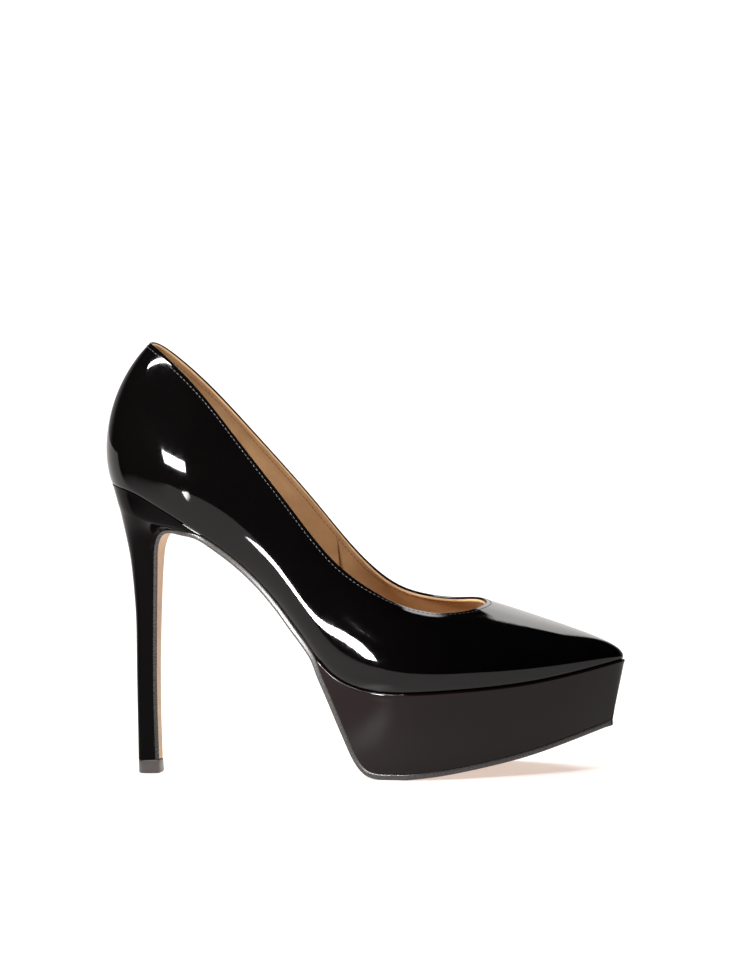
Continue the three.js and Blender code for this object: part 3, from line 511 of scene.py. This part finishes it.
def stitches(name, surface, spacing, length, width, height, thread):
    """A row of thread stitches lying on a surface; surface(k) gives point, along and out."""
    places = arc_positions(lambda k: surface(k)[0], spacing)
    centre, along, out = surface(places)
    across = np.cross(out, along)
    ring = np.linspace(0, 2 * math.pi, 9)[:-1]
    spans = np.array([-0.5, -0.44, -0.25, 0, 0.25, 0.44, 0.5])
    swell = np.array([0.15, 0.6, 0.95, 1, 0.95, 0.6, 0.15])
    points = []
    for span, size in zip(spans, swell):
        for angle in ring:
            side = across * math.cos(angle) * width / 2 * size
            lift = out * (math.sin(angle) * height / 2 * size - (1 - size) * height * 0.3)
            points.append(centre + along * span * length + side + lift)
    cloud = np.stack(points, 1)
    one = grid_faces(len(spans), len(ring), wrap_columns=True)
    ends = [list(range(len(ring)))[::-1], [len(spans[:-1]) * len(ring) + k for k in range(len(ring))]]
    faces = []
    for i in range(len(places)):
        base = i * cloud.shape[1]
        faces += (one + base).tolist()
        faces += [[base + k for k in end] for end in ends]
    return new_piece(name, cloud.reshape(-1, 3), faces, [thread])


def stitch_line(drop, depth):
    """The line at a distance below the topline, on the upper's outer face or inside the lining."""
    def surface(k):
        t = np.asarray(k, float) * LOOP
        fine = np.linspace(0.8, 0.99, 60)
        height = np.linalg.norm(wall(t[:, None], fine[None, :]) - wall(t, 0.99)[:, None], axis=-1)
        v = np.array([np.interp(-drop, -h, fine) for h in height])
        along, _, out = wall_frame(t, v)
        return wall(t, v) - out * depth, along, out

    return surface


stitches("topline_stitches", stitch_line(1.9, -0.02), 2.1, 1.5, 0.4, 0.34, BLACK_THREAD)
inner_line = stitch_line(3.0, UPPER_THICKNESS + LAYER_GAP + LINING_THICKNESS)


def inner_surface(k):
    point, along, out = inner_line(k)
    return point, along, -out


stitches("lining_stitches", inner_surface, 2.1, 1.6, 0.4, 0.34, BROWN_THREAD)


# ---------------------------------------------------------------- sock
SOCK_INSET = 2.6  # from the feather line to the sock's edge
SOCK_NARROWING = 5.5  # more than that at the toe


def sock():
    """The leather sock on the insole, its top crowned and dropping towards its edges."""
    s = np.linspace(0, LAST - 0.5, 150)
    inset = SOCK_INSET + SOCK_NARROWING * smoothstep(s, 9.5, 12.4)
    low, high = SOCK

    def edge(side, d, more=0.0):
        return in_from(s * side, inset + more, d)

    left, right = edge(1, high), edge(-1, high)
    across = np.linspace(0, 1, 25)
    top = left[:, None] * (1 - across[None, :, None]) + right[:, None] * across[None, :, None]
    crown = 0.5 * (1 - (2 * across - 1) ** 6)[None, :, None] * np.array([0, 0, 1.0])
    bottom_left, bottom_right = edge(1, low, 0.3), edge(-1, low, 0.3)
    top_face = top - np.array([0, 0, 0.45]) + crown
    sections = np.concatenate([top_face, bottom_right[:, None], bottom_left[:, None]], axis=1)
    if sections.shape[1] % 2:
        sections = np.concatenate([sections, (bottom_left[:, None] + left[:, None]) / 2], axis=1)
    points, faces = loft(sections)
    return new_piece("sock", points, faces, [SOCK_LEATHER], ["sock_lining"])


sock()


# ---------------------------------------------------------------- outsole
def plan_of(side):
    rows = [[row[0], row[1] if side < 0 else row[2]] for row in STATIONS[1:]]
    return profile(rows)


lateral_plan, medial_plan = plan_of(-1), plan_of(1)
toe_spring = profile(TOE_SPRING)


def tread_height(x):
    return np.where(x <= FLAT[1], 0, np.maximum(toe_spring(x), 0))


def lean_at(x):
    return lerp(WALL_LEAN, TOE_LEAN, smoothstep(x, *TOE_TURN))


def outsole_rows():
    rows = [[x, z, -a, b] for x, z, a, b in BREAST]
    for x in WAIST:
        p = over_sole(x, 0.0, -OUTSOLE_THICKNESS - LAYER_GAP)
        rows.append([p[0], p[2], WAIST_INSET - lateral_plan(x), medial_plan(x) - WAIST_INSET])
    return rows + [[x, z, -a, b] for x, z, a, b in TREAD]


def platform_foot(t):
    row = rails(t)
    x = row[..., 0]
    depth = sole_height(x) - tread_height(x) - OUTSOLE_THICKNESS
    return feather(t) - outward(t) * (lean_at(x) * depth)[..., None]


outsole_curve = smooth(outsole_rows())


def outsole_faces(t, gap=0.0):
    """Outer and inner face lines (x, z) of the flap and waist, and the lateral and medial edges' y."""
    at, step = outsole_curve(t), outsole_curve(t + 0.02) - outsole_curve(t - 0.02)
    along = unit(step[..., :2])
    thick = lerp(BREAST_FLAP_THICKNESS, OUTSOLE_THICKNESS, smoothstep(t, *THICKENING)) + gap
    outer = at[..., :2]
    inner = outer + np.stack([-along[..., 1], along[..., 0]], -1) * thick[..., None]
    return outer, inner, at[..., 2], at[..., 3]


def outsole_edges():
    """Along the outsole from the heel's tip to the toe: its lower edge lines, outward and inward ways."""
    count = len(BREAST) + len(WAIST) + len(TREAD) - 1
    outer, inner, lateral, medial = outsole_faces(np.linspace(0, count, 190))
    s = np.linspace(SOLE_STATION, LAST - 0.03, 130)
    sides = []
    for side, y in ((-1, lateral), (1, medial)):
        rear = np.stack([outer[:, 0], y, outer[:, 1]], 1)
        rear_out = np.tile([0.0, side, 0.0], (len(rear), 1))
        front = platform_foot(-side * s)
        front[:, 2] = tread_height(front[:, 0])
        sides.append((np.vstack([rear, front]), np.vstack([rear_out, outward(-side * s)])))
    rise = inner - outer
    rise = np.stack([rise[:, 0], 0 * rise[:, 0], rise[:, 1]], 1)
    rise = np.vstack([rise, np.tile([0.0, 0.0, OUTSOLE_THICKNESS], (len(s), 1))])
    return sides, rise


FACE_COLUMNS = 20  # quads across the sole's tan face


def outsole():
    """Leather sole with rounded, inked edges and a tan face."""
    ((left, left_out), (right, right_out)), rise = outsole_edges()
    thick = np.linalg.norm(rise, axis=1)[:, None]
    up = rise / thick
    place = np.arange(len(left)) / len(left)
    proud = (0.15 + 0.55 * smoothstep(place, 0.3, 0.62))[:, None]
    width = np.linalg.norm(right - left, axis=1)[:, None]
    low = np.minimum(1.0, width * 0.2 + 0.05)
    high = low * 0.55

    def edge(line, out, sweep, radius, height):
        """Points round a quarter circle at the lower or upper corner of one edge."""
        ways = [(math.cos(a), math.sin(a)) for a in sweep]
        return [line + out * (proud - radius * (1 - x)) + up * (height + radius * z) for x, z in ways]

    quarter = math.pi / 2
    start = left + left_out * (proud - low)
    stop = right + right_out * (proud - low)
    ring = [lerp(start, stop, k) for k in np.linspace(0, 1, FACE_COLUMNS + 1)]
    ring += edge(right, right_out, np.linspace(-quarter, 0, 6)[1:], low, low)
    ring += edge(right, right_out, np.linspace(0, quarter, 5), high, thick - high)
    ring += edge(left, left_out, np.linspace(quarter, 0, 5), high, thick - high)
    ring += edge(left, left_out, np.linspace(0, -quarter, 6)[:-1], low, low)
    sections = even(np.stack(ring, 1))
    points, faces = loft(sections)
    column = faces % sections.shape[1]
    flat = (column.max(1) <= FACE_COLUMNS) & (column.max(1) - column.min(1) <= 1)
    made = [SOLE_LEATHER, EDGE_INK]
    picks = np.where(flat, 0, 1)
    return new_piece("outsole_leather", points, faces, made, ["outsole"], picks)


outsole()


# ---------------------------------------------------------------- platform
def rear_inner():
    """The line (x, z) that the platform rests on behind the flat."""
    first = len(BREAST) + len(WAIST) - 1
    _, line, _, _ = outsole_faces(np.linspace(first, first + len(TREAD), 120), LAYER_GAP)
    keep = np.concatenate([[True], np.diff(line[:, 0]) > 0.02])
    return line[keep]


REAR = rear_inner()


def inner_sole_height(x):
    front = tread_height(x) + OUTSOLE_THICKNESS + LAYER_GAP
    rear = np.maximum(np.interp(x, REAR[:, 0], REAR[:, 1]), OUTSOLE_THICKNESS + LAYER_GAP)
    return np.where(x >= FLAT[0], front, rear)


def platform_wall(t, share, inset):
    """The platform's wall, at a share of its depth, drawn in by inset."""
    foot = feather(t)
    out = outward(t)
    top = sole_height(foot[..., 0]) - LAYER_GAP - inset
    lean = lean_at(foot[..., 0])

    def at_depth(z):
        return foot + out * (PLATFORM_PROUD - inset - lean * (top - z))[..., None]

    low = inner_sole_height(foot[..., 0])
    for _ in range(6):
        low = np.minimum(inner_sole_height(at_depth(low)[..., 0]), top - 0.6)
    low = np.minimum(low + inset, top - 0.4)
    z = top + (low - top) * share
    p = at_depth(z)
    p[..., 2] = z
    return p


def platform_cover():
    """Patent cover: a rolled top edge, the leaning wall and a tucked lower edge."""
    t = np.linspace(PLATFORM_START, LOOP - PLATFORM_START, 360)
    top, out = platform_wall(t, 0.0, 0.0), outward(t)
    radius = 0.85
    up = np.array([0, 0, 1.0])
    rings = [top - out * 3.2 - up * 0.1]
    for angle in np.linspace(math.pi / 2, 0, 8):
        rings.append(top - out * radius * (1 - math.cos(angle)) - up * radius * (1 - math.sin(angle)))
    depth = np.maximum(top[:, 2] - platform_wall(t, 1.0, 0.0)[:, 2], 1e-3)
    first = np.clip(radius / depth, 0, 0.6)
    for k in np.linspace(0, 1, 22)[1:]:
        rings.append(platform_wall(t, first + (1 - first) * k * 0.985, 0.0))
    low = platform_wall(t, 1.0, 0.0) - up * 0.4
    rings.append(low - out * 0.05)
    rings.append(low - out * 3.0)
    rings.append(platform_wall(t, 0.5, 3.0))
    sections = np.stack(rings, 1)
    points, faces = loft(even(sections))
    made = [PLATFORM_PATENT]
    return new_piece("platform_cover_patent", points, faces, made, ["platform_cover"])


platform_cover()

# ---------------------------------------------------------------- heel
heel_row = smooth(HEEL)


def seat_half(side):
    t = np.arange(0, 4.01, 0.05) * (1 if side < 0 else -1)
    row = rails(t)
    return lambda x: np.interp(x, row[:, 0], np.abs(row[:, 1]))


lateral_seat, medial_seat = seat_half(-1), seat_half(1)


def heel_side(v, s, inset):
    """A point of the heel's side: v from seat to tip, s from the lateral corner round the back."""
    v, s = np.broadcast_arrays(np.asarray(v, float), np.asarray(s, float))
    level = v * (len(HEEL) - 1)
    row = heel_row(level)
    back, half, square = row[..., 0:2], row[..., 3], row[..., 4]
    _, front, lateral, medial = outsole_faces(np.clip(row[..., 2], 0, None))
    edge = np.where(s < 0, -lateral, medial) - FLAP_PROUD
    share = np.clip(edge / half, 0.3, 0.999) ** (1 / square)
    end = math.pi - np.arcsin(share)
    angle = np.abs(s) * end

    def squared(x):
        return np.sign(x) * np.abs(x) ** square

    front_cos = squared(np.cos(end))
    depth = np.clip((squared(np.cos(angle)) - front_cos) / (1 - front_cos), 0, 1)
    length = np.linalg.norm(back - front, axis=-1)
    along = front + (back - front) * (depth * (1 - inset / length))[..., None]
    seat = np.where(s < 0, lateral_seat(along[..., 0]), medial_seat(along[..., 0]))
    seat = lerp(np.minimum(edge, seat), seat, smoothstep(depth, 0, 0.3))
    round_half = half * np.maximum(np.sin(np.minimum(angle, math.pi)), 0) ** square
    width = lerp(seat, round_half, smoothstep(level, 0, 2.4))
    z = lerp(sole_height(along[..., 0]) - SEAT_GAP, along[..., 1], smoothstep(level, 0, 2))
    z = lerp(along[..., 1], z, smoothstep(depth, 0, 0.3))
    y = np.sign(s) * np.maximum(width - inset * np.minimum(1, width / 4), 0)
    return np.stack([along[..., 0], y, z], -1)


def heel_cover():
    v = np.linspace(0, 1, 90)[:, None]
    s = np.sin(np.linspace(-1, 1, 73) * math.pi / 2)[None, :]
    outer = heel_side(v, s, 0.0)
    inner = heel_side(v, s[:, ::-1][:, ::6], 0.8)
    sections = np.concatenate([outer, inner], axis=1)
    points, faces = loft(sections)
    return new_piece("heel_cover_patent", points, faces, [HEEL_PATENT], ["heel_cover"])


heel_cover()


# ---------------------------------------------------------------- top piece
TOP_PIECE = (17.5, 7.1, 4.9, 0.9)  # front x, back x, half-width, corner
# Height and share of the full outline, so that both edges are softened.
TOP_PIECE_RINGS = (
    (0.0, 0.93), (0.12, 0.975), (0.45, 1.0), (5.5, 1.0), (5.85, 0.98), (TOP_PIECE_HEIGHT, 0.94),
)


def top_piece():
    """The heel's wearing end, a D in plan with softened edges."""
    front, back, half, corner = TOP_PIECE
    centre = front - (front - back) * 0.55
    ring = [[front, -half + corner], [front, 0], [front, half - corner]]
    ring += [[front - corner * 0.3, half - corner * 0.3], [front - corner, half]]
    for angle in np.linspace(math.pi / 2, 3 * math.pi / 2, 25):
        ring.append([centre + (centre - back) * math.cos(angle), half * math.sin(angle)])
    ring += [[front - corner, -half], [front - corner * 0.3, -half + corner * 0.3]]
    ring = np.array(ring)
    middle = np.array([centre, 0.0])
    sections = []
    for z, shrink in TOP_PIECE_RINGS:
        flat = middle + (ring - middle) * shrink
        sections.append(np.column_stack([flat, np.full(len(flat), z)]))
    points, faces = loft(np.stack(sections))
    return new_piece("top_piece_cap", points, faces, [TIP_PLASTIC], ["top_piece"])


top_piece()

# ---------------------------------------------------------------- inner pieces keep their CAD meshes
record_slots = {row["node"]: row["material_slot"] for row in frame["record"]["subparts"]}
for name, cad in frame["nodes"].items():
    if record_slots[name] in HIDDEN:
        cad.data.materials.clear()
        cad.data.materials.append(HIDDEN[record_slots[name]])

# ---------------------------------------------------------------- camera
AZIMUTH, ELEVATION, ROLL = math.radians(12.5), math.radians(6.0), math.radians(2.0)
DISTANCE = 6.0
FRAME_HEIGHT = 972 / 2232.0  # metres of the object that the frame's height covers
RIGHT_OF_ORIGIN, ABOVE_ORIGIN = 0.10832, 0.12892  # the view's centre, from the heel seat's foot


def make_camera():
    side = Vector((math.cos(AZIMUTH), math.sin(AZIMUTH), 0))
    tip = math.sin(ELEVATION)
    over = Vector((-math.sin(AZIMUTH) * tip, math.cos(AZIMUTH) * tip, math.cos(ELEVATION)))
    right = math.cos(ROLL) * side - math.sin(ROLL) * over
    up = math.sin(ROLL) * side + math.cos(ROLL) * over
    back = right.cross(up)
    origin = Vector(SHIFT * MM)
    middle = origin + right * RIGHT_OF_ORIGIN + up * ABOVE_ORIGIN
    middle += back * (Vector((0, 0, 0.08)) - middle).dot(back)
    data = bpy.data.cameras.new("camera")
    data.sensor_width = 36
    data.lens = 36 * DISTANCE / FRAME_HEIGHT
    data.clip_end = 40
    camera = bpy.data.objects.new("camera", data)
    turned = Matrix((right, up, back)).transposed().to_4x4()
    camera.matrix_world = Matrix.Translation(middle + back * DISTANCE) @ turned
    bpy.context.scene.collection.objects.link(camera)
    bpy.context.scene.camera = camera
    return camera


make_camera()


# ---------------------------------------------------------------- stage and light
FLOOR_REACH = 8.0
FLOOR_GLOW = (0.50, 0.45, 0.43, 1)
# Painted dark reflection: to glossy rays the floor's left front is black, beyond y = slope * x + offset,
# before start.
DARK_REFLECTION_START = -0.06
DARK_REFLECTION_SLOPE = 1.6
DARK_REFLECTION_OFFSET = 0.6
DARK_REFLECTION_SOFT = 0.42
# The bank's edges, as tangents of directions seen from the shoe: across to the right, and up.
BANK_LEFT, BANK_RIGHT = -0.24, -0.05
BANK_SLANT = 0.2
BANK_TOP = 1.2
BANK_TOP_SLANT = 1.2
BANK_RADIANCE = 4.6
SPOT_ENERGY = 40
SPOT_CONE = 4.6  # degrees
SOFTBOX_SPREAD = 60  # degrees


def calc(tree, operation, *values):
    made = tree.nodes.new("ShaderNodeMath")
    made.operation = operation
    for socket, value in zip(made.inputs, values):
        if isinstance(value, (int, float)):
            socket.default_value = value
        else:
            tree.links.new(value, socket)
    return made.outputs[0]


def ramp(tree, value, start, end, low, high, kind="SMOOTHSTEP"):
    made = node(tree, "ShaderNodeMapRange", From_Min=start, From_Max=end, To_Min=low, To_Max=high)
    made.interpolation_type = kind
    tree.links.new(value, made.inputs["Value"])
    return made.outputs["Result"]


def stage_material():
    """White floor that glows a little, painted light that keeps shadows pale; to glossy rays its left front is
    painted black, a painted dark reflection.
    """
    made, tree, shader = material("studio_white")
    tone = spread(tree, noise(tree, 3, 2), 0, 1)
    colour = blend_colours(tree, tone, (0.6, 0.6, 0.6), (0.63, 0.63, 0.63))
    tree.links.new(colour, shader.inputs["Base Color"])
    shader.inputs["Roughness"].default_value = 0.8
    shader.inputs["Specular IOR Level"].default_value = 0.1
    shader.inputs["Emission Color"].default_value = FLOOR_GLOW
    shader.inputs["Emission Strength"].default_value = 1.0
    coordinates = tree.nodes.new("ShaderNodeTexCoord")
    split = tree.nodes.new("ShaderNodeSeparateXYZ")
    tree.links.new(coordinates.outputs["Object"], split.inputs[0])
    x, y, _ = split.outputs
    front = ramp(tree, y, DARK_REFLECTION_START, DARK_REFLECTION_START + 0.06, 1, 0)
    painted_dark_line = calc(tree, "SUBTRACT", y, calc(tree, "MULTIPLY", x, DARK_REFLECTION_SLOPE))
    left = ramp(tree, painted_dark_line, DARK_REFLECTION_OFFSET - DARK_REFLECTION_SOFT, DARK_REFLECTION_OFFSET + DARK_REFLECTION_SOFT, 0, 1)
    # painted dark reflection: glossy rays see black emission instead of the floor where this mask is set
    glossy = tree.nodes.new("ShaderNodeLightPath").outputs["Is Glossy Ray"]
    painted_dark_mask = calc(tree, "MULTIPLY", glossy, calc(tree, "MULTIPLY", front, left))
    dark = tree.nodes.new("ShaderNodeEmission")
    dark.inputs["Color"].default_value = (0, 0, 0, 1)
    mix = tree.nodes.new("ShaderNodeMixShader")
    tree.links.new(painted_dark_mask, mix.inputs[0])
    tree.links.new(shader.outputs[0], mix.inputs[1])
    tree.links.new(dark.outputs[0], mix.inputs[2])
    tree.links.new(mix.outputs[0], tree.nodes["Material Output"].inputs["Surface"])
    return made


def floor_sheet():
    lines = np.linspace(-FLOOR_REACH, FLOOR_REACH, 9)
    points = [[x, y, 0.0] for y in lines for x in lines]
    mesh = bpy.data.meshes.new("studio_floor")
    mesh.from_pydata(points, [], grid_faces(len(lines), len(lines))[:, ::-1].tolist())
    mesh.materials.append(stage_material())
    floor = bpy.data.objects.new("studio_floor", mesh)
    bpy.context.scene.collection.objects.link(floor)


def aimed_light(name, kind, place, target, along=(1, 0, 0)):
    """A light that shines from place to target, its width as near to the direction along as it can be."""
    data = bpy.data.lights.new(name, kind)
    light = bpy.data.objects.new(name, data)
    back = (Vector(place) - Vector(target)).normalized()
    rise = back.cross(Vector(along)).normalized()
    side = rise.cross(back)
    light.matrix_world = Matrix.Translation(place) @ Matrix((side, rise, back)).transposed().to_4x4()
    light.visible_camera = False
    bpy.context.scene.collection.objects.link(light)
    return light


def softbox(name, aim, azimuth, elevation, distance, size, radiance, tilt=0.0):
    """A small soft light seen from aim, in the shoemaker's frame, in the given direction."""
    a, e, t = math.radians(azimuth), math.radians(elevation), math.radians(tilt)
    away = Vector((math.cos(a) * math.cos(e), math.sin(a) * math.cos(e), math.sin(e)))
    level = Vector((-math.sin(a), math.cos(a), 0))
    along = level * math.cos(t) + away.cross(level) * math.sin(t)
    target = Vector(to_frame(aim)[0])
    light = aimed_light(name, "AREA", target + away * distance, target, along)
    light.data.shape = "RECTANGLE"
    light.data.size, light.data.size_y = size
    light.data.energy = radiance * math.pi * size[0] * size[1]
    light.data.spread = math.radians(SOFTBOX_SPREAD)
    return light


def floor_spot():
    """A small pool of light on the floor beside the platform, which its wall mirrors."""
    light = aimed_light("floor_spot", "SPOT", (-0.036, -0.5, 0.25), (-0.038, -0.080, 0))
    light.data.energy = SPOT_ENERGY
    light.data.spot_size = math.radians(SPOT_CONE)
    light.data.spot_blend = 0.9
    light.data.shadow_soft_size = 0.01
    return light


def overhead():
    """Soft light from above, kept out of the patent's reflections."""
    light = aimed_light("overhead", "SUN", (0.0, 0.25, 1.0), (0, 0, 0))
    light.data.energy = 4.2
    light.data.angle = math.radians(70)
    light.visible_glossy = False
    return light


def studio_world():
    """A slanted light bank behind the shoe, brighter towards its top, in a dark room with a pale horizon."""
    world = bpy.data.worlds.new("studio")
    world.use_nodes = True
    tree = world.node_tree
    background = tree.nodes["Background"]
    coordinates = tree.nodes.new("ShaderNodeTexCoord")
    split = tree.nodes.new("ShaderNodeSeparateXYZ")
    tree.links.new(coordinates.outputs["Generated"], split.inputs[0])
    x, y, z = split.outputs
    behind = calc(tree, "MAXIMUM", y, 0.001)
    height = calc(tree, "DIVIDE", z, behind)
    slant = calc(tree, "MULTIPLY", height, BANK_SLANT)
    across = calc(tree, "SUBTRACT", calc(tree, "DIVIDE", x, behind), slant)
    over = calc(tree, "SUBTRACT", height, calc(tree, "MULTIPLY", across, BANK_TOP_SLANT))
    glow = ramp(tree, height, 0.1, BANK_TOP, 1.3, BANK_RADIANCE, "LINEAR")
    left = ramp(tree, across, BANK_LEFT - 0.05, BANK_LEFT + 0.05, 0, 1)
    right = ramp(tree, across, BANK_RIGHT - 0.02, BANK_RIGHT + 0.02, 1, 0)
    top = ramp(tree, over, BANK_TOP - 0.03, BANK_TOP + 0.04, 1, 0)
    inside = calc(tree, "MULTIPLY", calc(tree, "MULTIPLY", left, right), top)
    room = calc(tree, "MULTIPLY", ramp(tree, y, 0.3, 0.75, 0.002, 0.5), ramp(tree, z, 0.15, 0.6, 1, 0.0))
    light = calc(tree, "MAXIMUM", calc(tree, "MULTIPLY", glow, inside), room)
    seen = tree.nodes.new("ShaderNodeLightPath").outputs["Is Camera Ray"]
    plain = calc(tree, "MULTIPLY", seen, 1.2)
    tree.links.new(calc(tree, "MAXIMUM", light, plain), background.inputs["Strength"])
    background.inputs["Color"].default_value = (1, 0.975, 0.955, 1)
    bpy.context.scene.world = world


overhead()
studio_world()
floor_sheet()
softbox("softbox_counter", (34, -27, 145), -107, 19, 0.2, (0.085, 0.026), 31)
softbox("softbox_vamp", (116, -36, 62), -125, 12, 0.2, (0.026, 0.05), 31, 14)
softbox("softbox_topline", (27, -9, 187), -117, 52, 0.2, (0.14, 0.012), 24, 12)
floor_spot()
bpy.context.scene.view_settings.view_transform = "Standard"
